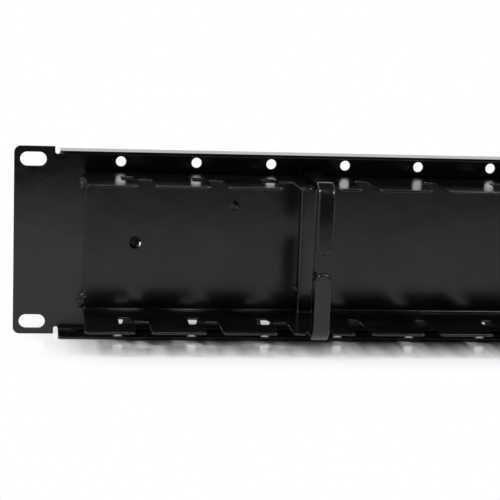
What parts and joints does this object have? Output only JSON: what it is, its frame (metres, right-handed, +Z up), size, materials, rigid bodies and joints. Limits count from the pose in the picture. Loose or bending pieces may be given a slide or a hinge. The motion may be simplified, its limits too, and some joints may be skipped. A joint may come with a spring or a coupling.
{
  "type": "horizontal cable manager",
  "caption": "Rack-mounted horizontal cable manager: steel panel with ears, a channel with hooked slots in both flanges, and open cable rings.",
  "frame": {"origin": "centre of the rear seating face, in the middle of the rack fixing slots", "axes": "+X to the right seen from the cable side, +Y back into the rack, +Z up; the cables lie on the -Y side"},
  "size_m": [0.4826, 0.0525, 0.0882],
  "materials": {
    "panel_coat": "semi-gloss black powder coat",
    "tray_coat": "semi-gloss black powder coat",
    "ring_coat": "semi-gloss black powder coat",
    "weld_coat": "black powder coat over weld beads"
  },
  "bodies": {
    "root": {"rear_panel": "panel_coat", "cable_tray": "tray_coat", "left_ring": "ring_coat", "right_ring": "ring_coat", "tray_tack_welds": "weld_coat", "ring_tack_welds": "weld_coat"}
  },
  "joints": []
}
